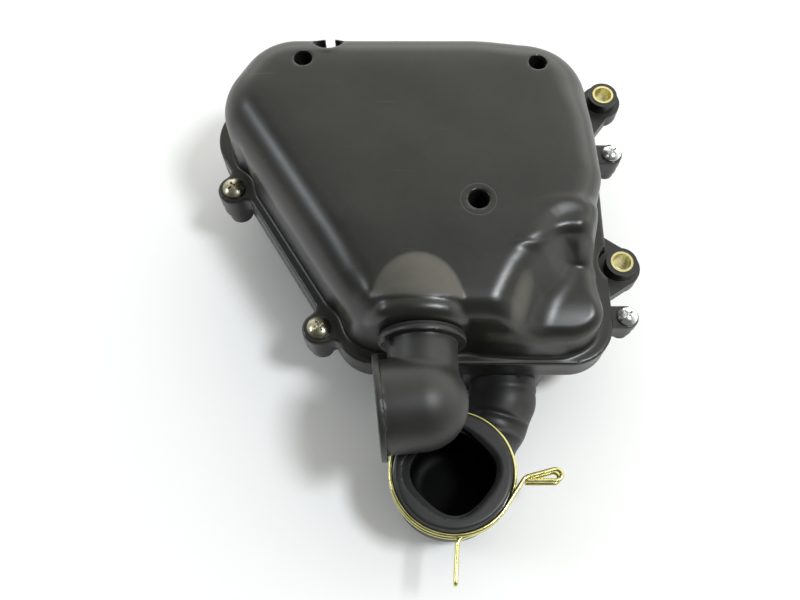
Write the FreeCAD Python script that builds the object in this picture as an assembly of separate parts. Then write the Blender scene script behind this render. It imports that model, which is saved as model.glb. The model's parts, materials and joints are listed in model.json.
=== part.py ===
import FreeCAD, Part
import math
import os

V = FreeCAD.Vector

# Air filter housing of a small scooter engine.
# Row frame, millimetres. Origin: on the axis of the lower mounting collar, in the parting plane
# between rear case and front cover. +Z runs along the mounting bolts, out through the cover;
# +Y points to the upper mounting collar; +X points away from the housing's centre.

# ---------------------------------------------------------------- driving dimensions
# flange outline shared by case and cover: corner points and corner radii, anticlockwise
FLANGE = [(-104.8, -42.3), (-6.0, -42.3), (-5.5, 90.0), (-147.0, 90.0), (-166.2, 58.0)]
FLANGE_R = [16.0, 17.0, 30.0, 24.0, 22.0]
# foot of the domed shell on the flange
FOOT = [(-102.4, -37.6), (-10.5, -37.6), (-10.0, 85.5), (-141.5, 85.5), (-160.0, 54.0)]
FOOT_R = [13.0, 14.0, 26.0, 24.0, 22.0]
COVER_FLANGE_T = 7.5       # height of the cover's rim
COVER_GAP = 0.1            # cover stands this far off the case, on the seal
RIM_T = 5.0                # height of the case's rim
WALL = 2.4                 # moulded wall thickness
PLATEAU_Z = 46.0           # highest level of the cover
PLATEAU_LOW_Z = 36.0       # level of the plateau's lower edge, where it slopes down
SLOPE_Y, SLOPE_END_Y = 14.0, -30.0   # where the plateau starts to slope, and where it reaches the lower level
LOBE_Z = 32.0              # level of the lower right lobe
LOBE_R = 11.0
PLATEAU_R = 16.0
DRAFT = 1.8                # wall lean over its height
CASE_DEPTH = 32.0          # parting plane to the case's back
CASE_INSET = 9.0           # tub wall inside the flange's edge
CASE_DRAFT = 2.0
CASE_FILLET = 7.0
LEDGE_Z = -5.5             # element ledge
LEDGE_T = 2.5
SEAL_IN, SEAL_OUT = 4.9, 2.3   # seal groove, distances from the flange's edge
SEAL_DEPTH = 3.0

UPPER_MOUNT = (0.0, 79.5)
LOWER_MOUNT = (0.0, 0.0)
COLLAR_R, COLLAR_BORE_R = 4.4, 3.5
COLLAR_Z0, COLLAR_Z1 = -4.3, 7.8
EAR_R, EAR_Z0, EAR_Z1 = 8.3, -4.0, 2.5
EAR_BOSS_R, EAR_BOSS_Z1 = 6.1, 7.5

# cover screws: name, x, y, ear radius, shank radius, head radius, ear top
SCREWS = [
    ("upper_left_screw", -154.4, 33.0, 6.5, 2.4, 4.5, 7.5),
    ("lower_left_screw", -117.6, -27.8, 6.5, 2.4, 4.5, 7.5),
    ("upper_right_screw", 1.4, 51.4, 4.6, 1.9, 3.9, 5.0),
    ("lower_right_screw", 0.3, -22.1, 4.6, 1.9, 3.9, 5.0),
    ("top_left_screw", -115.0, 79.8, 6.5, 2.0, 4.2, 7.5),
    ("top_right_screw", -50.0, 93.6, 6.5, 2.4, 4.5, 7.5),
]
WELL_R, WELL_WALL = 6.0, 1.8   # screwdriver well over the top left screw, sunk in the cover's rounded edge
WELL_TOP, WELL_NEAR_Y, WELL_SLOPE = 46.0, 72.2, 0.62   # the well's mouth falls away behind this line
WELL_SCREW, WELL_AT, WELL_BOSS_R = "top_left_screw", (-115.0, 79.8), 5.0
# blind holes for an outer trim: x, y, radius
TRIM_HOLES = [(-124.0, 68.3, 3.4), (-34.3, 66.4, 3.4), (-59.0, 6.3, 3.7)]
TRIM_FLOOR_Z = 27.0

# intake elbow
ELBOW_X, ELBOW_Z = -79.0, 26.0
SEAT_Y = -37.9             # outer face of the cover's elbow seat
SEAT_R = 15.8
NECK_R, NECK_BORE_R = 12.5, 10.5
DISC_R, DISC_T = 15.6, 2.3
RING_SEAL_Y0, RING_SEAL_Y1 = -38.1, -39.0    # rubber ring between the seat and the elbow's disc
INLET_SOCKET_R, INLET_SOCKET_L = 15.0, 6.0
LEG_R, LEG_BORE_R = 16.5, 14.3
LEG_END = (-94.9, -64.5)
LEG_TILT = 6.0             # outlet leg leans this many degrees towards -Y
LIP_R, LIP_T = 18.6, 2.2

# outlet boot
MOUTH = (-68.0, -81.2)
MOUTH_BORE_R = 15.0
MOUTH_TOP = 7.0
COLLAR_GROOVE_R, BEAD_R, BEAD_H = 20.3, 21.2, 2.0
BULB_R = 24.3
BOOT_Z0, BOOT_Z1 = -30.5, -3.5
BOOT_FILLET = 12.4
NECK_X, NECK_Z, BOOT_NECK_R = -45.8, -17.0, 13.4
BOOT_WALL = 3.0
PORT_Y = -41.5
SPIGOT_R, SPIGOT_BORE_R, SPIGOT_END_Y = 10.3, 8.3, -52.0

# wire clamp
WIRE_R = 0.8
RING_R = 22.4
RING_Z = 1.2
WIDE, NARROW = 2.7, 0.9    # wire offsets of the hooked and the looped half
PIVOT_DEG = 135.0

# drain
DRAIN_X, DRAIN_Z = -85.0, -24.0

os.makedirs("parts", exist_ok=True)
NODES = {}


# ---------------------------------------------------------------- helpers
def inset(pts, d):
    """Anticlockwise convex polygon moved inwards by d."""
    n, out = len(pts), []
    lines = []
    for i in range(n):
        (x0, y0), (x1, y1) = pts[i], pts[(i + 1) % n]
        L = math.hypot(x1 - x0, y1 - y0)
        nx, ny = -(y1 - y0) / L, (x1 - x0) / L
        lines.append((x0 + nx * d, y0 + ny * d, (x1 - x0) / L, (y1 - y0) / L))
    for i in range(n):
        ax, ay, adx, ady = lines[i - 1]
        bx, by, bdx, bdy = lines[i]
        det = adx * bdy - ady * bdx
        t = ((bx - ax) * bdy - (by - ay) * bdx) / det
        out.append((ax + adx * t, ay + ady * t))
    return out


def rounded(pts, radii, z):
    """Closed wire of straight runs and tangent arcs."""
    n, corners = len(pts), []
    for i in range(n):
        p = V(pts[i][0], pts[i][1], z)
        a = V(pts[i - 1][0], pts[i - 1][1], z)
        b = V(pts[(i + 1) % n][0], pts[(i + 1) % n][1], z)
        ua, ub = (a - p).normalize(), (b - p).normalize()
        ang = ua.getAngle(ub)
        t = radii[i] / math.tan(ang / 2)
        mid = (ua + ub).normalize()
        c = p + mid * (radii[i] / math.sin(ang / 2))
        corners.append((p + ua * t, c - mid * radii[i], p + ub * t))
    edges = []
    for i in range(n):
        s, m, e = corners[i]
        edges.append(Part.Arc(s, m, e).toShape())
        nxt = corners[(i + 1) % n][0]
        if (nxt - e).Length > 1e-4:
            edges.append(Part.LineSegment(e, nxt).toShape())
    return Part.Wire(edges)


def ring_radii(radii, d):
    return [max(0.6, r - d) for r in radii]


def prism(pts, radii, z0, z1, d=0.0):
    w = rounded(inset(pts, d) if d else pts, ring_radii(radii, d), z0)
    return Part.Face(w).extrude(V(0, 0, z1 - z0))


def tapered(pts, radii, z0, z1, d0, d1):
    a = rounded(inset(pts, d0) if d0 else pts, ring_radii(radii, d0), z0)
    b = rounded(inset(pts, d1) if d1 else pts, ring_radii(radii, d1), z1)
    return Part.makeLoft([a, b], True, True)


def cyl(x, y, z0, z1, r):
    return Part.makeCylinder(r, z1 - z0, V(x, y, z0), V(0, 0, 1))


def cyl_y(x, z, y0, y1, r):
    return Part.makeCylinder(r, abs(y1 - y0), V(x, y0, z), V(0, 1 if y1 > y0 else -1, 0))


def poly_prism(pts, z0, z1):
    w = Part.makePolygon([V(x, y, z0) for x, y in pts] + [V(pts[0][0], pts[0][1], z0)])
    return Part.Face(w).extrude(V(0, 0, z1 - z0))


def edges_at(shape, z, tol=0.05):
    return [e for e in shape.Edges if abs(e.BoundBox.ZMin - z) < tol and abs(e.BoundBox.ZMax - z) < tol]


def fuse(first, *others):
    return first.fuse([*others]).removeSplitter() if others else first


def save(name, *shapes):
    solids = []
    for s in shapes:
        solids += s.Solids
    if not solids:
        raise RuntimeError(name + " has no solid")
    for s in solids:
        if not s.isValid() or s.Volume <= 0:
            raise RuntimeError(f"{name}: invalid solid, volume {s.Volume}")
    shape = solids[0] if len(solids) == 1 else Part.makeCompound(solids)
    shape.exportStep(f"parts/{name}.step")
    NODES[name] = shape
    b = shape.BoundBox
    print(f"{name}: {len(solids)} solid(s) {shape.Volume:.0f} mm3 x {b.XMin:.1f}..{b.XMax:.1f} y {b.YMin:.1f}..{b.YMax:.1f} z {b.ZMin:.1f}..{b.ZMax:.1f}")


# ---------------------------------------------------------------- screw and mounting ears
def ear(x, y, r, z0, z1):
    """A round ear with a web running back into the flange."""
    body = cyl(x, y, z0, z1, r)
    if x > -20:
        web = poly_prism([(-11.0, y - r), (x, y - r), (x, y + r), (-11.0, y + r)], z0, z1)
    elif y > 80:
        web = poly_prism([(x - r - 2, 86.0), (x + r + 2, 86.0), (x + r, y), (x - r, y)], z0, z1)
    else:
        # towards the flange, square to its slanting left edge
        dx, dy = 0.855, 0.518
        px, py = -dy, dx
        web = poly_prism([(x + px * r, y + py * r), (x - px * r, y - py * r),
                          (x - px * (r + 1) + dx * 7, y - py * (r + 1) + dy * 7),
                          (x + px * (r + 1) + dx * 7, y + py * (r + 1) + dy * 7)], z0, z1)
    return fuse(body, web)


# ---------------------------------------------------------------- rear case
def make_rear_case():
    rim = prism(FLANGE, FLANGE_R, -RIM_T, 0)
    ledge = prism(FLANGE, FLANGE_R, LEDGE_Z - LEDGE_T, -RIM_T, 3.0)
    tub = tapered(FLANGE, FLANGE_R, LEDGE_Z - LEDGE_T, -CASE_DEPTH, CASE_INSET, CASE_INSET + CASE_DRAFT)
    tub = tub.makeFillet(CASE_FILLET, edges_at(tub, -CASE_DEPTH))
    block = poly_prism([(-62.5, PORT_Y), (-29.0, PORT_Y), (-29.0, -25.0), (-62.5, -25.0)], -CASE_DEPTH, -RIM_T)
    block = block.makeFillet(6.0, [e for e in block.Edges if abs(e.BoundBox.YMin - PORT_Y) < 0.05 and abs(e.BoundBox.YMax - PORT_Y) < 0.05 and e.BoundBox.ZLength > 5])
    block = block.makeFillet(4.0, [e for e in edges_at(block, -CASE_DEPTH) if e.BoundBox.YMax < -26])
    solid = fuse(rim, ledge, tub, block)
    # screw ears and their bosses
    for name, x, y, r, shank, head, top in SCREWS:
        if name == WELL_SCREW:
            continue
        solid = fuse(solid, ear(x, y, r - 0.3, -RIM_T, 0), cyl(x, y, -12.0 if r > 5 else -9.0, -RIM_T, r - 1.6 if r > 5 else r - 0.9))
    # mounting ears: plate, web and raised boss
    for (x, y), web in ((UPPER_MOUNT, [(-5.0, 62.0), (2.0, 71.4), (1.0, 87.7), (-5.0, 86.0)]),
                        (LOWER_MOUNT, [(-5.0, -13.0), (3.0, -7.7), (3.4, 7.6), (-5.0, 13.5)])):
        plate = fuse(cyl(x, y, EAR_Z0, EAR_Z1, EAR_R), poly_prism(web, EAR_Z0, EAR_Z1))
        root = poly_prism([(-16.0, web[0][1]), (-5.0, web[0][1]), (-5.0, web[3][1] - 0.5), (-16.0, web[3][1] - 0.5)], EAR_Z0, -0.0)
        if y > 40:
            root = poly_prism([(-16.0, 64.0), (-5.0, 62.0), (-5.0, 85.5), (-16.0, 82.0)], EAR_Z0, 0)
        solid = fuse(solid, plate, root, cyl(x, y, EAR_Z1 - 0.5, EAR_BOSS_Z1, EAR_BOSS_R))
    # hollow
    tub_in = tapered(FLANGE, FLANGE_R, LEDGE_Z + 0.01, -CASE_DEPTH + WALL, CASE_INSET + WALL, CASE_INSET + CASE_DRAFT + WALL)
    tub_in = tub_in.makeFillet(CASE_FILLET - WALL, edges_at(tub_in, -CASE_DEPTH + WALL))
    open_rim = prism(FLANGE, FLANGE_R, LEDGE_Z, 1.0, 6.9)
    groove = prism(FLANGE, FLANGE_R, -SEAL_DEPTH, 0.5, SEAL_OUT).cut(prism(FLANGE, FLANGE_R, -SEAL_DEPTH - 1, 1, SEAL_IN))
    solid = solid.cut(tub_in).cut(open_rim).cut(groove)
    # outlet port and spigot
    solid = fuse(solid, cyl_y(NECK_X, NECK_Z, PORT_Y + 3, SPIGOT_END_Y, SPIGOT_R))
    solid = solid.cut(cyl_y(NECK_X, NECK_Z, -24.0, SPIGOT_END_Y - 1, SPIGOT_BORE_R))
    # drain nipple
    solid = fuse(solid, cyl_y(DRAIN_X, DRAIN_Z, -30.4, -42.0, 3.0))
    solid = solid.cut(cyl_y(DRAIN_X, DRAIN_Z, -27.0, -43.0, 1.6))
    # the sunk screw's boss stands inside the rim
    wx, wy = WELL_AT
    solid = fuse(solid, cyl(wx, wy, -12.0, 0.0, WELL_BOSS_R), Part.makeBox(6.0, 5.0, 12.0 - 0.6, V(wx - 3.0, wy, -12.0)))
    # pilot holes and collar seats
    for name, x, y, r, shank, head, top in SCREWS:
        solid = solid.cut(cyl(x, y, -10.8 if r > 5 else -8.2, 1, shank + 0.15))
    for x, y in (UPPER_MOUNT, LOWER_MOUNT):
        solid = solid.cut(cyl(x, y, EAR_Z0 - 1, EAR_BOSS_Z1 + 1, COLLAR_R))
    return solid.removeSplitter()


# ---------------------------------------------------------------- front cover
PLATEAU = [(-102.0, -37.0), (-53.0, -37.0), (-10.8, 12.0), (-10.4, 85.1), (-141.3, 85.1), (-159.6, 54.0)]
PLATEAU_RAD = [18.5, 18.5, 21.0, 28.0, 26.0, 24.0]
LOBE = [(-75.0, -37.6), (-10.5, -37.6), (-10.7, 30.0), (-75.0, 30.0)]
LOBE_RAD = [6.0, 14.0, 8.0, 6.0]


def shell_bodies(d):
    """Outer form of the domed cover, moved inwards by d (0 for the outside, WALL for the hollow)."""
    z0 = COVER_FLANGE_T - 0.5 if d == 0 else -1.0
    top = PLATEAU_Z - d
    low = PLATEAU_LOW_Z - d
    main = tapered(PLATEAU, PLATEAU_RAD, z0, top, d, DRAFT + d)
    main = round_over(main, edges_at(main, top), PLATEAU_R - d, "plateau")
    # the plateau slopes down towards the elbow
    run = (SLOPE_Y - SLOPE_END_Y) / (PLATEAU_Z - PLATEAU_LOW_Z)
    wedge = Part.makePolygon([V(-200, SLOPE_Y, top), V(-200, SLOPE_Y, top + 20), V(-200, -80, top + 20),
                              V(-200, SLOPE_END_Y - 6 * run, low - 6), V(-200, SLOPE_Y, top)])
    main = main.cut(Part.Face(wedge).extrude(V(220, 0, 0)))
    lobe = tapered(LOBE, LOBE_RAD, z0, LOBE_Z - d, d, DRAFT + d)
    lobe = round_over(lobe, edges_at(lobe, LOBE_Z - d), max(2.0, LOBE_R - d), "lobe")
    dome_r = SEAT_R - d
    y_seat = SEAT_Y + (0 if d == 0 else WALL)
    dome = cyl_y(ELBOW_X, ELBOW_Z, y_seat, -25.0, dome_r)
    ball = Part.makeSphere(dome_r, V(ELBOW_X, -25.0, ELBOW_Z)).common(Part.makeBox(60, 40, 60, V(ELBOW_X - 30, -25.5, ELBOW_Z - 30)))
    return main, lobe, dome, ball


def round_over(shape, edges, r, label):
    for k in (1.0, 0.85, 0.7, 0.5, 0.35, 0.2):
        try:
            s = shape.makeFillet(r * k, edges)
            if s.isValid() and s.Volume > 0:
                print(f"  {label} fillet {r * k:.1f}")
                return s
        except Exception:
            pass
    print(f"  {label}: no fillet")
    return shape


def make_front_cover():
    rim = prism(FLANGE, FLANGE_R, COVER_GAP, COVER_FLANGE_T)
    rim = rim.makeFillet(1.2, edges_at(rim, COVER_FLANGE_T))
    solid = fuse(rim, *shell_bodies(0))
    for name, x, y, r, shank, head, top in SCREWS:
        if name != WELL_SCREW:
            solid = fuse(solid, ear(x, y, r, COVER_GAP, top))
    # screwdriver well sunk in the far edge
    wx, wy = WELL_AT
    tower = cyl(wx, wy, COVER_GAP, WELL_TOP, WELL_R + WELL_WALL)
    drop = WELL_SLOPE * 20.0
    lid = Part.makePolygon([V(wx - 20, WELL_NEAR_Y, WELL_TOP), V(wx - 20, WELL_NEAR_Y + 20, WELL_TOP - drop),
                            V(wx - 20, WELL_NEAR_Y + 20, WELL_TOP + 5), V(wx - 20, WELL_NEAR_Y, WELL_TOP + 5), V(wx - 20, WELL_NEAR_Y, WELL_TOP)])
    solid = fuse(solid, tower.cut(Part.Face(lid).extrude(V(40, 0, 0))))
    inner = shell_bodies(WALL)
    hollow = fuse(*inner)
    opening = prism(FLANGE, FLANGE_R, -1.0, COVER_FLANGE_T - WALL, 6.9)
    hollow = fuse(hollow, opening)
    # the hollow keeps off the well and the trim-hole bosses
    hollow = hollow.cut(cyl(wx, wy, -2.0, WELL_TOP + 5, WELL_R + WELL_WALL))
    for x, y, r in TRIM_HOLES:
        hollow = hollow.cut(cyl(x, y, TRIM_FLOOR_Z - WALL, PLATEAU_Z + 2, r + 2.0))
    solid = solid.cut(hollow)
    # wells, holes
    solid = solid.cut(cyl(wx, wy, COVER_FLANGE_T, WELL_TOP + 15, WELL_R))
    slot = Part.makeBox(4.0, 14.0, 60.0, V(wx - 2.0, wy, COVER_FLANGE_T + 6.0))
    solid = solid.cut(slot)
    for x, y, r in TRIM_HOLES:
        solid = solid.cut(cyl(x, y, TRIM_FLOOR_Z, PLATEAU_Z + 2, r))
    for name, x, y, r, shank, head, top in SCREWS:
        solid = solid.cut(cyl(x, y, -1, COVER_FLANGE_T + 1, shank + 0.35))
    # elbow hole
    solid = solid.cut(cyl_y(ELBOW_X, ELBOW_Z, SEAT_Y - 1, -26.0, NECK_R + 0.15))
    # clear of the mounting ears of the case
    for x, y in (UPPER_MOUNT, LOWER_MOUNT):
        solid = solid.cut(cyl(x, y, -1, 12, EAR_R + 0.4))
        solid = solid.cut(Part.makeBox(14.0, 32.0, 14.0, V(-4.9, y - 16.0, -1)).common(Part.makeBox(14, 27.5, 14, V(-4.9, y - 13.6, -1))))
    # tongue that presses the seal
    tongue = prism(FLANGE, FLANGE_R, -1.0, COVER_GAP + 0.2, SEAL_OUT + 0.6).cut(prism(FLANGE, FLANGE_R, -2, 1, SEAL_IN - 0.6))
    solid = fuse(solid, tongue)
    for name, x, y, r, shank, head, top in SCREWS:
        solid = solid.cut(cyl(x, y, -2, COVER_FLANGE_T + 1, shank + 0.35))
    # posts that hold the element down
    posts = []
    for x, y, z in ((-132.0, 50.0, 44.6), (-26.0, 50.0, 44.6), (-100.0, 5.0, 42.8), (-30.0, 26.0, 44.6)):
        posts.append(cyl(x, y, 11.1, z, 2.4))
    solid = fuse(solid, *posts)
    return solid.removeSplitter()


# ---------------------------------------------------------------- element, seal and grids
def make_seal():
    s = prism(FLANGE, FLANGE_R, -SEAL_DEPTH, -1.15, SEAL_OUT + 0.1)
    return s.cut(prism(FLANGE, FLANGE_R, -SEAL_DEPTH - 1, 0, SEAL_IN - 0.1))


def lattice(pts, radii, z0, z1, d, frame_w, pitch, bar):
    outer = prism(pts, radii, z0, z1, d)
    inner = prism(pts, radii, z0 - 1, z1 + 1, d + frame_w)
    frame = outer.cut(inner)
    bars = []
    x = -160.0 + pitch
    while x < -8:
        bars.append(Part.makeBox(bar, 160, z1 - z0, V(x, -60, z0)))
        x += pitch
    y = -42.0 + pitch
    while y < 88:
        bars.append(Part.makeBox(190, bar, z1 - z0, V(-175, y, z0)))
        y += pitch
    grid = bars[0].fuse(bars[1:]).common(prism(pts, radii, z0, z1, d + 0.5))
    return fuse(frame, grid)


def make_elements():
    support = lattice(FLANGE, FLANGE_R, LEDGE_Z, LEDGE_Z + 2.0, 7.3, 5.0, 18.0, 2.0)
    foam = prism(FOOT, FOOT_R, LEDGE_Z + 2.0, 8.9, 4.4)
    foam = foam.makeFillet(1.5, edges_at(foam, 8.9) + edges_at(foam, LEDGE_Z + 2.0))
    retainer = lattice(FOOT, FOOT_R, 8.9, 10.9, 5.4, 5.0, 18.0, 2.0)
    # all three go round the sunk screw's boss and well
    wx, wy = WELL_AT
    def notched(shape, pts, radii, z0, z1, d, r, frame_w):
        shape = shape.cut(cyl(wx, wy, z0 - 5, z1 + 5, r))
        if frame_w:
            ring = cyl(wx, wy, z0, z1, r + frame_w).cut(cyl(wx, wy, z0 - 1, z1 + 1, r)).common(prism(pts, radii, z0, z1, d))
            shape = fuse(shape, ring)
        return shape
    support = notched(support, FLANGE, FLANGE_R, LEDGE_Z, LEDGE_Z + 2.0, 7.3, WELL_BOSS_R + 0.4, 3.0)
    foam = notched(foam, FOOT, FOOT_R, LEDGE_Z + 2.0, 8.9, 4.4, WELL_R + WELL_WALL + 0.6, 0)
    retainer = notched(retainer, FOOT, FOOT_R, 8.9, 10.9, 5.4, WELL_R + WELL_WALL + 0.6, 3.0)
    return support, foam, retainer


# ---------------------------------------------------------------- intake elbow
def make_elbow():
    a = math.radians(LEG_TILT)
    axis = V(-math.cos(a), -math.sin(a), 0)
    end = V(LEG_END[0], LEG_END[1], ELBOW_Z)
    length = 28.4
    start = end - axis * length
    leg = Part.makeCylinder(LEG_R, length, start, axis)
    near = [e for e in leg.Edges if e.Closed and (e.CenterOfMass - start).Length < 1.0]
    leg = leg.makeFillet(11.5, near)
    lip = Part.makeCylinder(LIP_R, LIP_T, end - axis * LIP_T, axis)
    neck = cyl_y(ELBOW_X, ELBOW_Z, -33.4, -60.0, NECK_R)
    disc = cyl_y(ELBOW_X, ELBOW_Z, RING_SEAL_Y1, RING_SEAL_Y1 - DISC_T, DISC_R)
    hook = Part.makeCone(NECK_R, NECK_R + 0.65, 1.7, V(ELBOW_X, -33.4, ELBOW_Z), V(0, -1, 0))
    outside = fuse(leg, lip, neck, disc, hook)
    leg_in = Part.makeCylinder(LEG_BORE_R, length - 2.2 + 1, start + axis * 2.2, axis)
    near = [e for e in leg_in.Edges if e.Closed and (e.CenterOfMass - (start + axis * 2.2)).Length < 1.0]
    leg_in = leg_in.makeFillet(9.3, near)
    neck_in = cyl_y(ELBOW_X, ELBOW_Z, -32.0, -58.0, NECK_BORE_R)
    inside = fuse(leg_in, neck_in)
    socket = Part.makeCylinder(INLET_SOCKET_R, INLET_SOCKET_L + 1, end - axis * INLET_SOCKET_L, axis)
    return outside.cut(inside).cut(socket).removeSplitter()


def make_elbow_ring():
    ring = cyl_y(ELBOW_X, ELBOW_Z, RING_SEAL_Y0, RING_SEAL_Y1, 15.0)
    return ring.cut(cyl_y(ELBOW_X, ELBOW_Z, RING_SEAL_Y0 + 1, RING_SEAL_Y1 - 1, NECK_R))


# ---------------------------------------------------------------- outlet boot
def boot_plan(d):
    """Plan outline of the boot's body: neck, flared side and bulb, moved inwards by d."""
    mx, my = MOUTH
    r = BULB_R - d
    circle = Part.Face(Part.Wire(Part.makeCircle(r, V(mx, my, 0))))
    hw = BOOT_NECK_R - d
    # right side bows out to the bulb, left side meets it
    right = [(NECK_X + hw, PORT_Y), (NECK_X + hw - 0.3, -49.0), (-36.4 - d, -59.0), (-40.4 - d, -70.0), (-43.9 - d, -79.0)]
    left = [(-84.0 + d, -64.0), (-66.0 + d, -56.5), (-60.0 + d, -50.0), (NECK_X - hw, PORT_Y)]
    pts = [V(x, y, 0) for x, y in right]
    c1 = Part.BSplineCurve()
    c1.interpolate(pts)
    c2 = Part.BSplineCurve()
    c2.interpolate([V(x, y, 0) for x, y in left])
    e_mid = Part.makePolygon([pts[-1], V(mx, my, 0), V(left[0][0], left[0][1], 0)])
    e_top = Part.LineSegment(V(left[-1][0], left[-1][1], 0), pts[0]).toShape()
    w = Part.Wire(Part.__sortEdges__([c1.toShape(), *e_mid.Edges, c2.toShape(), e_top]))
    return circle, Part.Face(w)


def make_boot():
    def body(d):
        circle, web = boot_plan(d)
        z0, z1 = BOOT_Z0 + d, BOOT_Z1 - d
        h = V(0, 0, z1 - z0)
        one = circle.extrude(h).fuse(web.extrude(h)).removeSplitter()
        one.translate(V(0, 0, z0))
        one = one.Solids[0] if one.Solids else one
        edges = [e for e in edges_at(one, z0) + edges_at(one, z1) if e.BoundBox.YMin < PORT_Y - 0.2]
        return round_over(one, edges, BOOT_FILLET - d, "boot")
    mx, my = MOUTH
    outer = body(0)
    outer = fuse(outer, cyl(mx, my, -14, MOUTH_TOP - BEAD_H, COLLAR_GROOVE_R), cyl(mx, my, MOUTH_TOP - BEAD_H, MOUTH_TOP, BEAD_R))
    drum = cyl(mx, my, BOOT_Z0 + BOOT_WALL, BOOT_Z1 - BOOT_WALL, BULB_R - BOOT_WALL)
    drum = drum.makeFillet(BOOT_FILLET - BOOT_WALL, edges_at(drum, BOOT_Z0 + BOOT_WALL) + edges_at(drum, BOOT_Z1 - BOOT_WALL))
    nr = BOOT_NECK_R - BOOT_WALL
    knee = V(NECK_X, -54.0, NECK_Z)
    run = V(mx + 4.0, my + 4.0, NECK_Z) - knee
    inner = fuse(drum, cyl_y(NECK_X, NECK_Z, -50.0, -54.0, nr), Part.makeSphere(nr, knee), Part.makeCylinder(nr, run.Length, knee, run))
    stray = inner.cut(outer).Volume
    print(f"  boot: hollow outside the wall {stray:.2f} mm3")
    bore = cyl(mx, my, -12, MOUTH_TOP + 1, MOUTH_BORE_R)
    neck_bore = cyl_y(NECK_X, NECK_Z, PORT_Y + 1, -55.0, SPIGOT_R + 0.02)
    # clear of the flange's underside where the neck goes in under it
    outer = outer.cut(Part.makeBox(60, 12, 10, V(NECK_X - 30, -42.7, -RIM_T - 0.4)))
    solid = outer.cut(inner.common(Part.makeBox(200, 100, 100, V(-150, -52.2 - 100, -60)))).cut(bore).cut(neck_bore)
    lead = Part.makeCone(MOUTH_BORE_R, MOUTH_BORE_R + 1.6, 1.6, V(mx, my, MOUTH_TOP - 1.59), V(0, 0, 1))
    solid = solid.cut(lead)
    return solid.removeSplitter()


# ---------------------------------------------------------------- wire clamp
def polar(deg, r=RING_R):
    a = math.radians(deg)
    return (MOUTH[0] + r * math.cos(a), MOUTH[1] + r * math.sin(a))


def arc_deg(a0, a1, z, r=RING_R):
    p0, pm, p1 = polar(a0, r), polar((a0 + a1) / 2, r), polar(a1, r)
    return Part.Arc(V(*p0, z), V(*pm, z), V(*p1, z)).toShape()


def filleted_path(points, radii, z):
    """Straight runs joined by tangent arcs at the inner points."""
    edges, prev = [], V(*points[0], z)
    for i in range(1, len(points) - 1):
        p, a, b = V(*points[i], z), V(*points[i - 1], z), V(*points[i + 1], z)
        ua, ub = (a - p).normalize(), (b - p).normalize()
        ang = ua.getAngle(ub)
        t = radii[i - 1] / math.tan(ang / 2)
        mid = (ua + ub).normalize()
        c = p + mid * (radii[i - 1] / math.sin(ang / 2))
        s, m, e = p + ua * t, c - mid * radii[i - 1], p + ub * t
        if (s - prev).Length > 1e-4:
            edges.append(Part.LineSegment(prev, s).toShape())
        edges.append(Part.Arc(s, m, e).toShape())
        prev = e
    last = V(*points[-1], z)
    if (last - prev).Length > 1e-4:
        edges.append(Part.LineSegment(prev, last).toShape())
    return edges


def sweep(edges, start, direction):
    w = Part.Wire(edges)
    c = Part.Wire(Part.makeCircle(WIRE_R, start, direction))
    return w.makePipeShell([c], True, True)


def wire_run(a0, a1, tail, radii, z):
    """Ring arc from a0 to a1 degrees, then a tail of straight runs and bends that leaves it along its tangent."""
    s = 1 if a1 > a0 else -1
    p1 = polar(a1)
    t = (-math.sin(math.radians(a1)) * s, math.cos(math.radians(a1)) * s)
    pts = [p1] + tail
    edges = [arc_deg(a0, a1, z)] + filleted_path(pts, radii, z)
    a = math.radians(a0)
    p0 = polar(a0)
    return sweep(edges, V(*p0, z), V(-math.sin(a) * s, math.cos(a) * s, 0))


def make_clamp():
    mx, my = MOUTH
    # hooked half: round the left and the bottom, tab to the right, wire ends folded back
    a1 = 325.0
    p1 = polar(a1)
    t = (-math.sin(math.radians(a1)), math.cos(math.radians(a1)))
    corner = (p1[0] + t[0] * 12.9, p1[1] + t[1] * 12.9)
    hooked = []
    for dz in (-WIDE, WIDE):
        tail = [corner, (mx + 38.9, my + 1.2), (mx + 38.9, my - 3.4), (mx + 26.4, my - 3.4)]
        hooked.append(wire_run(PIVOT_DEG - 6, a1, tail, [4.0, 2.2, 2.2], RING_Z + dz))
    # looped half: round the top and the right, tab down, closed by a loop at its tip
    a1 = -70.0
    p1 = polar(a1)
    t = (math.sin(math.radians(a1)), -math.cos(math.radians(a1)))
    corner = (p1[0] + t[0] * 6.9, p1[1] + t[1] * 6.9)
    tip = (mx + 0.2, my - 37.6)
    looped = []
    for dz in (-NARROW, NARROW):
        looped.append(wire_run(PIVOT_DEG + 6, a1, [corner, tip], [3.0], RING_Z + dz))
    d = V(tip[0] - corner[0], tip[1] - corner[1], 0).normalize()
    side = V(-d.y, d.x, 0)
    bend = Part.makeTorus(NARROW, WIRE_R, V(tip[0], tip[1], RING_Z), side)
    half = Part.makeBox(10, 10, 10, V(-5, 0, -5))
    half.Placement = FreeCAD.Placement(V(tip[0], tip[1], RING_Z), FreeCAD.Rotation(V(0, 1, 0), d))
    loop = fuse(looped[0], looped[1], bend.common(half))
    return hooked, loop


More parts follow.
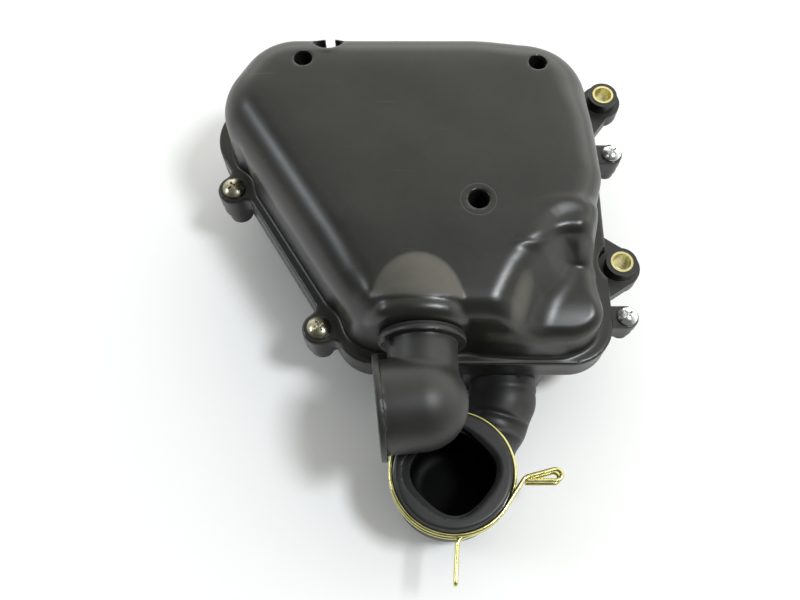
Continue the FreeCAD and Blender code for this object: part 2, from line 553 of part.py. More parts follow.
# ---------------------------------------------------------------- small parts
def make_screw(x, y, shank, head_r, seat, length):
    shaft = cyl(x, y, seat - length, seat + 0.5, shank)
    tip = [e for e in shaft.Edges if abs(e.BoundBox.ZMax - (seat - length)) < 0.01]
    shaft = shaft.makeChamfer(shank * 0.45, tip)
    base = cyl(x, y, seat, seat + 1.0, head_r)
    h = 1.7
    ball_r = (head_r ** 2 + h ** 2) / (2 * h)
    ball = Part.makeSphere(ball_r, V(x, y, seat + 1.0 + h - ball_r))
    dome = ball.common(cyl(x, y, seat + 1.0, seat + 6, head_r))
    s = fuse(shaft, base, dome)
    arm, w = head_r * 0.55, head_r * 0.2
    z = seat + 1.0
    for ang in (35, 125):
        b = Part.makeBox(arm * 2, w, 6, V(-arm, -w / 2, 0))
        b.rotate(V(0, 0, 0), V(0, 0, 1), ang)
        b.translate(V(x, y, z))
        s = s.cut(b)
    return s.removeSplitter()


def make_collar(x, y):
    tube = cyl(x, y, COLLAR_Z0, COLLAR_Z1, COLLAR_R)
    s = tube.cut(cyl(x, y, COLLAR_Z0 - 1, COLLAR_Z1 + 1, COLLAR_BORE_R))
    return s


def make_plug():
    s = cyl_y(DRAIN_X, DRAIN_Z, -35.5, -44.5, 4.6)
    s = s.makeFillet(1.2, [e for e in s.Edges if e.Closed and abs(e.BoundBox.YMin + 44.5) < 0.05])
    s = s.cut(cyl_y(DRAIN_X, DRAIN_Z, -35.0, -42.4, 3.08))
    grip = cyl_y(DRAIN_X, DRAIN_Z, -43.5, -47.5, 2.0)
    grip = grip.fuse(cyl_y(DRAIN_X, DRAIN_Z, -46.4, -47.9, 3.0))
    return fuse(s, grip)


# ---------------------------------------------------------------- build
save("rear_case", make_rear_case())
save("front_cover", make_front_cover())
save("case_seal", make_seal())
support, foam, retainer = make_elements()
save("element_support_grid", support)
save("filter_element", foam)
save("element_retainer", retainer)
save("intake_elbow", make_elbow())
save("elbow_seal_ring", make_elbow_ring())
save("outlet_boot", make_boot())
hooked, looped = make_clamp()
save("clamp_hooked_half", *hooked)
save("clamp_looped_half", looped)
for name, x, y, r, shank, head, top in SCREWS:
    save(name, make_screw(x, y, shank, head, top, 17.0 if r > 5 else 12.5))
save("upper_mount_collar", make_collar(*UPPER_MOUNT))
save("lower_mount_collar", make_collar(*LOWER_MOUNT))
save("drain_plug", make_plug())
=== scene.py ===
import bpy, json, math
import numpy as np
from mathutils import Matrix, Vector


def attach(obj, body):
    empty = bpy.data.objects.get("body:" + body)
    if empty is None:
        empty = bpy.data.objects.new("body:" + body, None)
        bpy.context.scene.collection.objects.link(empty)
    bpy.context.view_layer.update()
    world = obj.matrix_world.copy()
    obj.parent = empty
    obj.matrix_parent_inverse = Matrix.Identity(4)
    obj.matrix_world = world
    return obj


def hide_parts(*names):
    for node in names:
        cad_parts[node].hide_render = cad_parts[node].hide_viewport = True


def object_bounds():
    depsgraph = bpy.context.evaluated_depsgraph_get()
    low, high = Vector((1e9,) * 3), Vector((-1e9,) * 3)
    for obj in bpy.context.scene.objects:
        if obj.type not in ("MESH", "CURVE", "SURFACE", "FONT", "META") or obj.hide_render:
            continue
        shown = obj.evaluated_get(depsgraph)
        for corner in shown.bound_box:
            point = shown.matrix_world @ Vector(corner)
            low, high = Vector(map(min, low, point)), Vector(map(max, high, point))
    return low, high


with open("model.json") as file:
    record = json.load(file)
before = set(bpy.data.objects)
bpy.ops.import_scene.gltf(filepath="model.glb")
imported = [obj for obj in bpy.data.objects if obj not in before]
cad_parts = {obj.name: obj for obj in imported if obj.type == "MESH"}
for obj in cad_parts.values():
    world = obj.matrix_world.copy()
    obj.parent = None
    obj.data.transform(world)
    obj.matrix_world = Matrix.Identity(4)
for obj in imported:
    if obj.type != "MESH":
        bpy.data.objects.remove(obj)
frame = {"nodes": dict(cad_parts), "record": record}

CAD_LO, CAD_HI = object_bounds()
SCENE = bpy.context.scene

# ================================================================ shape fields, in millimetres
def rpoly(pts, radii, x, y):
    """Distance to a convex, anticlockwise polygon with round corners."""
    n = len(pts)
    lines, d = [], None
    for i in range(n):
        (x0, y0), (x1, y1) = pts[i], pts[(i + 1) % n]
        L = math.hypot(x1 - x0, y1 - y0)
        ux, uy = (x1 - x0) / L, (y1 - y0) / L
        lines.append((ux, uy))
        e = (x - x0) * uy - (y - y0) * ux
        d = e if d is None else np.maximum(d, e)
    for i in range(n):
        (ax, ay), (bx, by) = lines[i - 1], lines[i]
        turn = math.acos(max(-1, min(1, ax * bx + ay * by)))
        r = radii[i]
        mx, my = bx - ax, by - ay
        L = math.hypot(mx, my)
        k = r / math.cos(turn / 2)
        cx, cy = pts[i][0] + mx / L * k, pts[i][1] + my / L * k
        px, py = x - cx, y - cy
        inside = (px * ax + py * ay > 0) & (px * bx + py * by < 0)
        d = np.where(inside, np.hypot(px, py) - r, d)
    return d

def smin(a, b, k):
    h = np.maximum(k - np.abs(a - b), 0.0) / k
    return np.minimum(a, b) - h * h * k * 0.25

def smax(a, b, k):
    return -smin(-a, -b, k)

def rmax(a, b, r):
    return np.minimum(np.maximum(a, b), -r) + np.hypot(np.maximum(a + r, 0), np.maximum(b + r, 0))

def rmin(a, b, r):
    return -rmax(-a, -b, r)

def step(t):
    t = np.clip(t, 0.0, 1.0)
    return t * t * (3 - 2 * t)

def circle(x, y, cx, cy, r):
    return np.hypot(x - cx, y - cy) - r

def slab(z, z0, z1):
    return np.abs(z - (z0 + z1) / 2) - (z1 - z0) / 2

def capsule2(x, y, ax, ay, bx, by, ra, rb=None):
    """Distance to a straight 2-D bar from a to b, with end radii ra and rb."""
    rb = ra if rb is None else rb
    vx, vy = bx - ax, by - ay
    t = np.clip(((x - ax) * vx + (y - ay) * vy) / (vx * vx + vy * vy), 0, 1)
    return np.hypot(x - ax - t * vx, y - ay - t * vy) - (ra + (rb - ra) * t)

def polyline_signed(x, y, pts):
    """Distance to an open polyline, positive on its right-hand side."""
    best, sign = None, None
    for (ax, ay), (bx, by) in zip(pts[:-1], pts[1:]):
        vx, vy = bx - ax, by - ay
        t = np.clip(((x - ax) * vx + (y - ay) * vy) / (vx * vx + vy * vy), 0, 1)
        dx, dy = x - ax - t * vx, y - ay - t * vy
        d = np.hypot(dx, dy)
        s = np.sign(dx * vy - dy * vx)
        if best is None:
            best, sign = d, s
        else:
            closer = d < best
            sign = np.where(closer, s, sign)
            best = np.minimum(d, best)
    return best * sign

# ================================================================ dual contouring of a field
def contour(name, field, lo, hi, h):
    """A closed quad mesh of field(x, y, z) = 0, with its edges kept sharp. Millimetres in, metres out."""
    ax = [np.arange(lo[i], hi[i] + h, h) for i in range(3)]
    n = [len(a) for a in ax]
    F = np.empty(n, np.float32)
    for i0 in range(0, n[0], 32):
        F[i0:i0 + 32] = field(ax[0][i0:i0 + 32, None, None], ax[1][None, :, None], ax[2][None, None, :])
    F[F == 0] = 1e-6
    inside = F < 0
    off = np.eye(3, dtype=int)
    cells_all, P_all, N_all, quads = [], [], [], []
    cn = [n[0] - 1, n[1] - 1, n[2] - 1]
    for a in range(3):
        b, c = (a + 1) % 3, (a + 2) % 3
        sl0 = [slice(None)] * 3; sl1 = [slice(None)] * 3
        sl0[a] = slice(0, -1); sl1[a] = slice(1, None)
        idx = np.argwhere(inside[tuple(sl0)] != inside[tuple(sl1)])
        idx = idx[(idx[:, b] > 0) & (idx[:, c] > 0) & (idx[:, b] < n[b] - 1) & (idx[:, c] < n[c] - 1)]
        f0 = F[tuple(idx.T)].astype(float); f1 = F[tuple((idx + off[a]).T)].astype(float)
        P = np.stack([ax[k][idx[:, k]] for k in range(3)], 1).astype(float)
        base = P[:, a].copy()
        t0, t1 = np.zeros(len(P)), np.ones(len(P))
        s0 = f0 < 0
        for _ in range(4):
            t = np.clip(t0 + (t1 - t0) * f0 / (f0 - f1), t0 + 0.02 * (t1 - t0), t1 - 0.02 * (t1 - t0))
            P[:, a] = base + t * h
            fm = field(P[:, 0], P[:, 1], P[:, 2])
            same = (fm < 0) == s0
            t0, f0 = np.where(same, t, t0), np.where(same, fm, f0)
            t1, f1 = np.where(same, t1, t), np.where(same, f1, fm)
            f0 = np.where(np.abs(f0) < 1e-9, np.where(s0, -1e-9, 1e-9), f0)
            f1 = np.where(np.abs(f1) < 1e-9, np.where(s0, 1e-9, -1e-9), f1)
        N = gradient(field, P)
        quad = []
        for db, dc in ((1, 1), (0, 1), (0, 0), (1, 0)):
            q = idx - db * off[b] - dc * off[c]
            quad.append((q[:, 0] * cn[1] + q[:, 1]) * cn[2] + q[:, 2])
        quad = np.stack(quad, 1)
        cells_all.append(quad.T.reshape(-1)); P_all.append(np.tile(P, (4, 1))); N_all.append(np.tile(N, (4, 1)))
        quads.append(np.where(s0[:, None], quad, quad[:, ::-1]))
    cells, P, N, quads = np.concatenate(cells_all), np.concatenate(P_all), np.concatenate(N_all), np.concatenate(quads)
    ids, inv = np.unique(cells, return_inverse=True)
    m = len(ids)
    cnt = np.bincount(inv, minlength=m).astype(float)
    acc = lambda w: np.bincount(inv, weights=w, minlength=m)
    M = np.stack([acc(P[:, k]) for k in range(3)], 1) / cnt[:, None]
    A = np.empty((m, 3, 3))
    for i in range(3):
        for j in range(i, 3):
            A[:, i, j] = A[:, j, i] = acc(N[:, i] * N[:, j])
    d = np.einsum("ij,ij->i", N, P)
    B = np.stack([acc(N[:, k] * d) for k in range(3)], 1)
    mean_n = np.stack([acc(N[:, k]) for k in range(3)], 1) / cnt[:, None]
    flat = np.linalg.norm(mean_n, axis=1)
    lam = np.where(flat > 0.97, 0.2, 0.02) * cnt
    X = M + np.linalg.solve(A + lam[:, None, None] * np.eye(3), (B - np.einsum("nij,nj->ni", A, M))[:, :, None])[:, :, 0]
    cell = np.stack([ids // (cn[1] * cn[2]), (ids // cn[2]) % cn[1], ids % cn[2]], 1)
    clo = np.stack([ax[k][cell[:, k]] for k in range(3)], 1)
    X = np.clip(X, clo, clo + h)
    smooth = flat > 0.9
    for _ in range(2):
        p = X[smooth]
        f = field(p[:, 0], p[:, 1], p[:, 2])
        X[smooth] = p - np.clip(f, -0.3 * h, 0.3 * h)[:, None] * gradient(field, p)
    return mesh_object(name, X / 1000.0, np.searchsorted(ids, quads))

def gradient(field, P, e=0.03):
    g = np.empty_like(P)
    for k in range(3):
        a, b = P.copy(), P.copy()
        a[:, k] += e; b[:, k] -= e
        g[:, k] = field(a[:, 0], a[:, 1], a[:, 2]) - field(b[:, 0], b[:, 1], b[:, 2])
    return g / np.maximum(np.linalg.norm(g, axis=1), 1e-12)[:, None]

def mesh_object(name, verts, quads, crease=38.0):
    me = bpy.data.meshes.new(name)
    me.vertices.add(len(verts))
    me.vertices.foreach_set("co", np.ascontiguousarray(verts, np.float32).ravel())
    me.loops.add(len(quads) * 4)
    me.loops.foreach_set("vertex_index", np.ascontiguousarray(quads, np.int32).ravel())
    me.polygons.add(len(quads))
    me.polygons.foreach_set("loop_start", np.arange(0, len(quads) * 4, 4, dtype=np.int32))
    me.update(calc_edges=True)
    me.validate()
    me.polygons.foreach_set("use_smooth", np.ones(len(me.polygons), bool))
    if crease:
        me.set_sharp_from_angle(angle=math.radians(crease))
    o = bpy.data.objects.new(name, me)
    SCENE.collection.objects.link(o)
    return o

# ================================================================ dimensions shared with the frame
FLANGE = [(-104.8, -42.3), (-6.0, -42.3), (-5.5, 90.0), (-147.0, 90.0), (-166.2, 58.0)]
FLANGE_R = [16.0, 17.0, 30.0, 24.0, 22.0]
SCREWS = {"upper_left": (-154.4, 33.0, 6.5, 2.4, 7.5), "lower_left": (-117.6, -27.8, 6.5, 2.4, 7.5),
          "upper_right": (1.4, 51.4, 4.6, 1.9, 5.0), "lower_right": (0.3, -22.1, 4.6, 1.9, 5.0),
          "top_left": (-115.0, 79.8, 6.5, 2.0, 7.5), "top_right": (-50.0, 93.6, 6.3, 2.4, 7.5)}
MOUNTS = [(0.0, 79.5), (0.0, 0.0)]
TRIM = [(-124.0, 68.3, 3.4), (-34.3, 66.4, 3.4), (-59.0, 6.3, 3.7)]
WX, WY = -115.0, 79.8
ELBOW_X, ELBOW_Z = -79.0, 26.0
WALL = 2.4
FOOT = [(-102.4, -37.6), (-8.6, -37.6), (-8.2, 14.0), (-12.4, 86.0), (-141.5, 86.0), (-160.0, 54.6)]
FOOT_R = [13.0, 14.0, 30.0, 27.0, 25.0, 23.0]
# the plateau's lower right ridge, from the front edge up and round to the right
RIDGE = [(-51.4, -60.0), (-51.6, -33.0), (-50.4, -28.6), (-48.0, -23.6), (-45.2, -18.2), (-42.4, -14.4), (-39.6, -10.6), (-37.8, -7.0), (-36.4, -2.0), (-34.4, 1.4), (-31.4, 3.4), (-28.5, 4.4), (-24.0, 5.0), (-18.0, 5.0), (8.0, 4.0)]

def bell(x, y, cx, cy, rx, ry=None, turn=0.0):
    """Smooth bump of height 1."""
    c, t = math.cos(turn), math.sin(turn)
    u, v = (x - cx) * c + (y - cy) * t, -(x - cx) * t + (y - cy) * c
    return np.exp(-((u / rx) ** 2 + (v / (ry or rx)) ** 2))

def foot2d(x, y):
    shift = (3.7 * step((23.0 - y) / 15.0) + 2.0 * np.exp(-((y + 6.0) / 8.0) ** 2)) * step((x + 62) / 34.0)
    d = rpoly(FOOT, FOOT_R, x + shift, y)
    return d - 1.2 * step((x + 62.0) / 26.0) * step((-22.0 - y) / 12.0)

def plateau_level(x, y, d):
    """Top of the plateau: a faint crown, and a fall towards the elbow that steepens as it goes."""
    h = 45.85 - 0.0031 * np.maximum(2.0 - y, 0.0) ** 2
    s = np.maximum(24.0 + d, 0.0)
    return h - 0.0050 * s * s * step((y + 34.0) / 30.0)

def lobe_level(x, y):
    """Top of the lower right part: a shelf below the plateau's edge, a hollow, then down to the front."""
    h = 27.4 - 0.0135 * np.maximum(-y - 22.0, 0.0) ** 2
    edge = -4.2 - 4.5 * step((-27.0 - x) / 13.0)
    t = np.clip((y - edge + 8.2) / 11.2, 0.0, 1.0)
    h = h + 17.0 * (1.0 - (1.0 - t) ** 2) * step(t / 0.65)
    h = h - 6.0 * step((y - 5.0) / 7.0)
    h = h - 1.0 * bell(x, y, -31.5, -13.0, 6.5, 4.5, 0.55)
    return h - 0.5 * bell(x, y, -44.6, -27.0, 5.0, 13.0, -0.31)

def tilted(z, level, x, y, e=0.25):
    """Distance from a height field, corrected for its slope."""
    hx = (level(x + e, y) - level(x - e, y)) / (2 * e)
    hy = (level(x, y + e) - level(x, y - e)) / (2 * e)
    return (z - level(x, y)) / np.sqrt(1 + hx * hx + hy * hy)

def cover_outside(x, y, z):
    d2 = foot2d(x, y)
    front = step((-18.0 - y) / 14.0)
    east = step((x + 60.0) / 30.0)
    up = np.maximum(z - 7.5, 0.0)
    wall = d2 + up * (0.02 + 0.10 * east * (1 - front) + 0.03 * front)
    plateau = lambda a, b: plateau_level(a, b, foot2d(a, b))
    top = tilted(z, plateau, x, y)
    soft = 14.3 - 7.0 * front * step((x + 104.0) / 12.0)
    soft = soft - 4.5 * step((x + 40.0) / 18.0) * (1 - front) * step((62.0 - y) / 22.0)
    main = rmax(wall, top, soft)
    s = polyline_signed(x, y, RIDGE)
    drop = plateau(x, y) - z
    cliff = (s - 0.80 * drop) * 0.78
    shelf = step((y + 11.0) / 9.0)
    main = smax(main, cliff, 4.6 - 1.2 * shelf)
    lobe = rmax(d2 + up * (0.13 - 0.08 * front), tilted(z, lobe_level, x, y), 6.0 - 2.0 * front)
    lobe = np.maximum(lobe, -62.0 - x) + 7.0 * step((-s - 3.0) / 12.0)
    body = smin(main, lobe, 4.4 - 0.8 * shelf)
    # dome over the elbow's neck, and the seat ring in front of it
    ax = np.abs(x + 81.0)
    plan = (np.hypot(ax / 18.8, np.maximum(y + 33.2, 0.0) / 22.5) - 1.0) * 18.8
    dome = rmax(plan, z - 45.7 + ax * ax / 90.0 + 0.004 * np.maximum(y + 30.0, 0.0) ** 2, 7.5)
    dome = rmax(dome, -30.8 - y, 0.7)
    ring = rmax(rmax(ax - 18.1, z - 45.4 + ax * ax / 60.0, 8.0), np.maximum(-37.9 - y, y + 24.0), 4.8)
    body = smin(body, dome, 1.6)
    for name in ("upper_left", "lower_left"):
        ex, ey = SCREWS[name][:2]
        body = smax(body, 8.9 - np.hypot(x - ex, y - ey) - 0.10 * up, 2.4)
    return smin(body, ring, 1.6)

def ear2d(key, x, y, grow=0.0):
    ex, ey, r, _, _ = SCREWS[key]
    if ex > -20:
        return capsule2(x, y, ex, ey, -12.0, ey, r + grow)
    if ey > 80:
        return capsule2(x, y, ex, ey, ex, 84.0, r + grow, r + 2 + grow)
    return capsule2(x, y, ex, ey, ex + 0.855 * 9, ey + 0.518 * 9, r + grow, r + 2 + grow)

def well_rim(x, y, z):
    """The well's mouth falls away towards the far edge, a little proud of the shell."""
    return (z - 45.2 + (y - 72.0) * 0.74) / 1.244

def f_cover(x, y, z):
    fl = rpoly(FLANGE, FLANGE_R, x, y)
    big = fl
    for k in ("upper_left", "lower_left", "top_right"):
        big = smin(big, ear2d(k, x, y), 2.5)
    for mx, my in MOUNTS:
        big = np.maximum(big, -circle(x, y, mx, my, 8.9))
    rim = rmax(big, z - 7.5, 0.9)
    small = np.minimum(ear2d("upper_right", x, y), ear2d("lower_right", x, y))
    rim = rmin(rim, rmax(small, z - 5.0, 0.6), 0.5)
    shell = cover_outside(x, y, z)
    well = circle(x, y, WX, WY, 7.8)
    out = rmin(shell, rim, 1.3)
    out = smin(out, rmax(well, well_rim(x, y, z), 1.2), 1.6)
    out = smax(out, z - 45.95, 0.3)
    out = np.maximum(out, 0.1 - z)
    inner = shell + WALL
    inner = np.minimum(inner, np.maximum(fl + 6.9, z - 5.1))
    inner = np.maximum(inner, -well)
    for hx, hy, r in TRIM:
        inner = np.maximum(inner, -np.maximum(circle(x, y, hx, hy, r + 2.0), 24.6 - z))
    for px, py in ((-132.0, 50.0), (-26.0, 50.0), (-100.0, 5.0), (-30.0, 26.0)):
        inner = np.maximum(inner, -np.maximum(circle(x, y, px, py, 2.4), 11.1 - z))
    out = np.maximum(out, -inner)
    tongue = np.maximum(np.abs(fl + 3.6) - 0.7, slab(z, -1.0, 0.6))
    out = np.minimum(out, tongue)
    # well, its slot, and the blind holes
    out = smax(out, -np.maximum(circle(x, y, WX, WY, 6.0), 7.5 - z), 0.8)
    out = smax(out, -np.maximum(np.maximum(np.abs(x - WX) - 1.8, WY - y), 13.5 - z), 0.9)
    for hx, hy, r in TRIM:
        out = smax(out, -np.maximum(circle(x, y, hx, hy, r), 27.0 - z), 0.9)
    for ex, ey, r, shank, top in SCREWS.values():
        out = np.maximum(out, -np.maximum(circle(x, y, ex, ey, shank + 0.35), z - 8.5))
    out = np.maximum(out, -np.maximum(np.hypot(x - ELBOW_X, z - ELBOW_Z) - 12.65, slab(y, -45.0, -26.0)))
    return out

# ================================================================ intake elbow
TILT = math.radians(6.0)
AXIS = (-math.cos(TILT), -math.sin(TILT))
END = (-94.9, -64.5)

def f_elbow(x, y, z):
    zz = z - ELBOW_Z
    neck_q = np.hypot(x - ELBOW_X, zz)
    # leg 2: distance along its axis from the open end (negative inside) and off it
    u = (x - END[0]) * AXIS[0] + (y - END[1]) * AXIS[1]
    v = (x - END[0]) * -AXIS[1] + (y - END[1]) * AXIS[0]
    q = np.hypot(v, zz)
    R, back = 16.4, -15.2
    leg = np.where(u < back, np.hypot(q, u - back), q) - R
    leg = np.maximum(leg, u)
    lip = rmax(q - 18.5, slab(u, -2.2, 0.0), 0.6)
    neck = np.maximum(neck_q - 12.45, slab(y, -60.0, -33.4))
    neck = np.maximum(neck, -(y + 60.0))
    disc = rmax(neck_q - 15.6, slab(y, -41.3, -39.0), 0.55)
    hook = np.maximum(neck_q - 12.45 - np.clip((-33.4 - y) / 1.7, 0, 1) * 0.65, slab(y, -35.1, -33.4))
    out = smin(leg, neck, 1.4)
    out = rmin(out, lip, 0.5)
    out = rmin(out, disc, 0.4)
    out = np.minimum(out, hook)
    # hollow
    r = 14.2
    ins = np.where(u < back, np.hypot(q, u - back), q) - r
    ins = np.minimum(ins, np.maximum(neck_q - 10.5, -(y + 58.0)))
    ins = np.minimum(ins, np.maximum(q - 15.0, -6.0 - u))
    out = smax(out, -ins, 0.4)
    # small locating nib on the disc
    nib = np.maximum(np.maximum(np.abs(x - (ELBOW_X - 14.4)) - 1.4, np.abs(zz - 5.5) - 1.6), slab(y, -43.0, -40.0))
    return np.minimum(out, rmax(nib, neck_q - 15.5, 0.3))

# ================================================================ outlet boot
MX, MY = -68.0, -81.2

def f_boot(x, y, z):
    bx, by = x - MX, y - MY
    rad = np.hypot(bx, by)
    # drum with rolled edges
    drum = rmax(rad - 21.7, slab(z, -30.4, -3.6), 12.0)
    # bent neck, a little flattened, swelling towards the drum
    pts = [(-46.2, -36.0, -17.0, 12.2), (-46.4, -49.0, -17.0, 12.3), (-50.6, -58.5, -16.8, 12.5), (-56.2, -67.5, -16.6, 12.5), (-61.5, -75.5, -16.8, 12.2)]
    neck = None
    for (ax, ay, az, ar), (cx, cy, cz, cr) in zip(pts[:-1], pts[1:]):
        vx, vy, vz = cx - ax, cy - ay, cz - az
        t = np.clip(((x - ax) * vx + (y - ay) * vy + (z - az) * vz) / (vx * vx + vy * vy + vz * vz), 0, 1)
        d = np.sqrt((x - ax - t * vx) ** 2 + (y - ay - t * vy) ** 2 + (z - az - t * vz) ** 2) - (ar + (cr - ar) * t)
        neck = d if neck is None else smin(neck, d, 3.0)
    out = smin(drum, neck, 7.0)
    # cuff over the port
    cuff = rmax(np.hypot(x + 45.9, z + 17.0) - 12.9, slab(y, -46.5, -34.0), 0.7)
    out = rmin(out, cuff, 0.6)
    # two folds across the neck
    for (ax, ay), (cx, cy), amp in (((-62.0, -55.0), (-34.0, -62.0), 0.9), ((-62.0, -60.5), (-38.0, -67.5), 0.7)):
        L = math.hypot(cx - ax, cy - ay)
        off = ((x - ax) * (cy - ay) - (y - ay) * (cx - ax)) / L
        out = out - amp * np.exp(-(off / 1.3) ** 2) * step((z + 16.0) / 7.0) * step((x + 60.0) / 6.0)
    # collar for the clamp, and the bead over it
    collar = np.maximum(rad - 20.3, slab(z, -14.0, 6.0))
    out = smin(out, collar, 2.5)
    a = np.arctan2(by, bx)
    bead = rmax(rad - 21.15 - 0.12 * np.cos(3 * a + 0.6), slab(z, 4.9, 7.0), 0.9)
    out = rmin(out, bead, 0.4)
    # hollow
    ins = rmax(rad - 18.8, slab(z, -27.4, -6.5), 9.0)
    for (ax, ay, az, ar), (cx, cy, cz, cr) in zip(pts[1:-1], pts[2:]):
        vx, vy, vz = cx - ax, cy - ay, cz - az
        t = np.clip(((x - ax) * vx + (y - ay) * vy + (z - az) * vz) / (vx * vx + vy * vy + vz * vz), 0, 1)
        d = np.sqrt((x - ax - t * vx) ** 2 + (y - ay - t * vy) ** 2 + (z - az - t * vz) ** 2) - (ar + (cr - ar) * t) + 3.0
        ins = smin(ins, np.maximum(d, y + 52.2), 2.0)
    ins = np.minimum(ins, np.maximum(np.hypot(x + 45.8, z + 17.0) - 10.32, slab(y, -55.0, -30.0)))
    # mouth: an egg-shaped opening with nested lips towards the left
    dirn = 0.5 + 0.5 * np.cos(a - math.radians(188))
    lobed = 14.7 + 0.75 * np.cos(4 * (a - 0.06)) + 0.35 * np.cos(a + math.radians(80))
    mouth = np.maximum(rad - lobed, -(z + 12.0))
    lead = np.maximum(rad - lobed - np.clip(z - 5.4, 0, 2) * 1.0, 5.4 - z)
    step1 = np.maximum(rad - (lobed + 2.8 * dirn), 3.2 - z)
    ins = np.minimum(ins, np.minimum(mouth, np.minimum(lead, step1)))
    out = smax(out, -ins, 0.6)
    # keep under the flange, and end at the port
    out = np.maximum(out, np.minimum(z + 5.4, y + 42.7))
    out = np.maximum(out, y + 41.5)
    return out

# ================================================================ materials
class Mat:
    """Small helper to lay out a node material."""
    def __init__(self, name):
        self.m = bpy.data.materials.new(name)
        self.m.use_nodes = True
        self.t = self.m.node_tree
        self.b = self.t.nodes["Principled BSDF"]
        self.co = self.t.nodes.new("ShaderNodeTexCoord").outputs["Object"]
    def node(self, kind, **kw):
        n = self.t.nodes.new(kind)
        for k, v in kw.items():
            if k.startswith("i_"):
                n.inputs[k[2:].replace("_", " ")].default_value = v
            else:
                setattr(n, k, v)
        return n
    def link(self, a, b):
        self.t.links.new(a, b)
    def set(self, **kw):
        for k, v in kw.items():
            self.b.inputs[k.replace("_", " ")].default_value = v
    def noise(self, scale, detail=3.0, rough=0.55, vec=None, dist=0.0):
        n = self.node("ShaderNodeTexNoise", i_Scale=scale, i_Detail=detail, i_Roughness=rough, i_Distortion=dist)
        self.link(vec or self.co, n.inputs["Vector"])
        return n.outputs["Fac"]
    def ramp(self, fac, stops):
        n = self.node("ShaderNodeValToRGB")
        e = n.color_ramp.elements
        e[0].position, e[0].color = stops[0][0], (*stops[0][1], 1)
        e[1].position, e[1].color = stops[-1][0], (*stops[-1][1], 1)
        for p, c in stops[1:-1]:
            x = e.new(p); x.color = (*c, 1)
        self.link(fac, n.inputs["Fac"])
        return n.outputs["Color"]
    def span(self, fac, a, b, lo, hi):
        n = self.node("ShaderNodeMapRange")
        n.inputs["From Min"].default_value, n.inputs["From Max"].default_value = a, b
        n.inputs["To Min"].default_value, n.inputs["To Max"].default_value = lo, hi
        self.link(fac, n.inputs["Value"])
        return n.outputs["Result"]
    def math(self, op, a, b):
        n = self.node("ShaderNodeMath", operation=op)
        for i, v in enumerate((a, b)):
            if isinstance(v, (int, float)):
                n.inputs[i].default_value = v
            else:
                self.link(v, n.inputs[i])
        return n.outputs[0]
    def mix(self, fac, a, b):
        n = self.node("ShaderNodeMix", data_type="RGBA")
        for s, v in (("Factor", fac), ("A", a), ("B", b)):
            k = [i for i in n.inputs if i.name == s and (i.type == ("VALUE" if s == "Factor" else "RGBA"))][0]
            if isinstance(v, (tuple, list)):
                k.default_value = (*v, 1) if len(v) == 3 else v
            elif isinstance(v, (int, float)):
                k.default_value = v
            else:
                self.link(v, k)
        return [o for o in n.outputs if o.type == "RGBA"][0]
    def stretch(self, scale, rot=(0, 0, 0)):
        n = self.node("ShaderNodeMapping")
        n.inputs["Scale"].default_value = scale
        n.inputs["Rotation"].default_value = rot
        self.link(self.co, n.inputs["Vector"])
        return n.outputs["Vector"]
    def bump(self, height, strength, distance):
        n = self.node("ShaderNodeBump", i_Strength=strength, i_Distance=distance)
        self.link(height, n.inputs["Height"])
        prev = self.b.inputs["Normal"]
        if prev.is_linked:
            self.link(prev.links[0].from_socket, n.inputs["Normal"])
        self.link(n.outputs["Normal"], prev)

# worn satin patches on the cover, rougher and with painted sheen (a lighter colour where the dome's top and the valley
# strip catch the light): centre, radii and turn in the plan, height range, strength (metres)
COVER_WEAR_AND_SHEEN = [((-0.0810, -0.0332), (0.0170, 0.0200), 0.0, (0.0380, 0.0410), (0.80, 0.94), 1.0),
              ((-0.0446, -0.0285), (0.0037, 0.0110), -0.31, (0.0160, 0.0220), (0.1, 1.0), 1.0)]
FAINT_RING = (-0.0590, 0.0063, 0.0064)

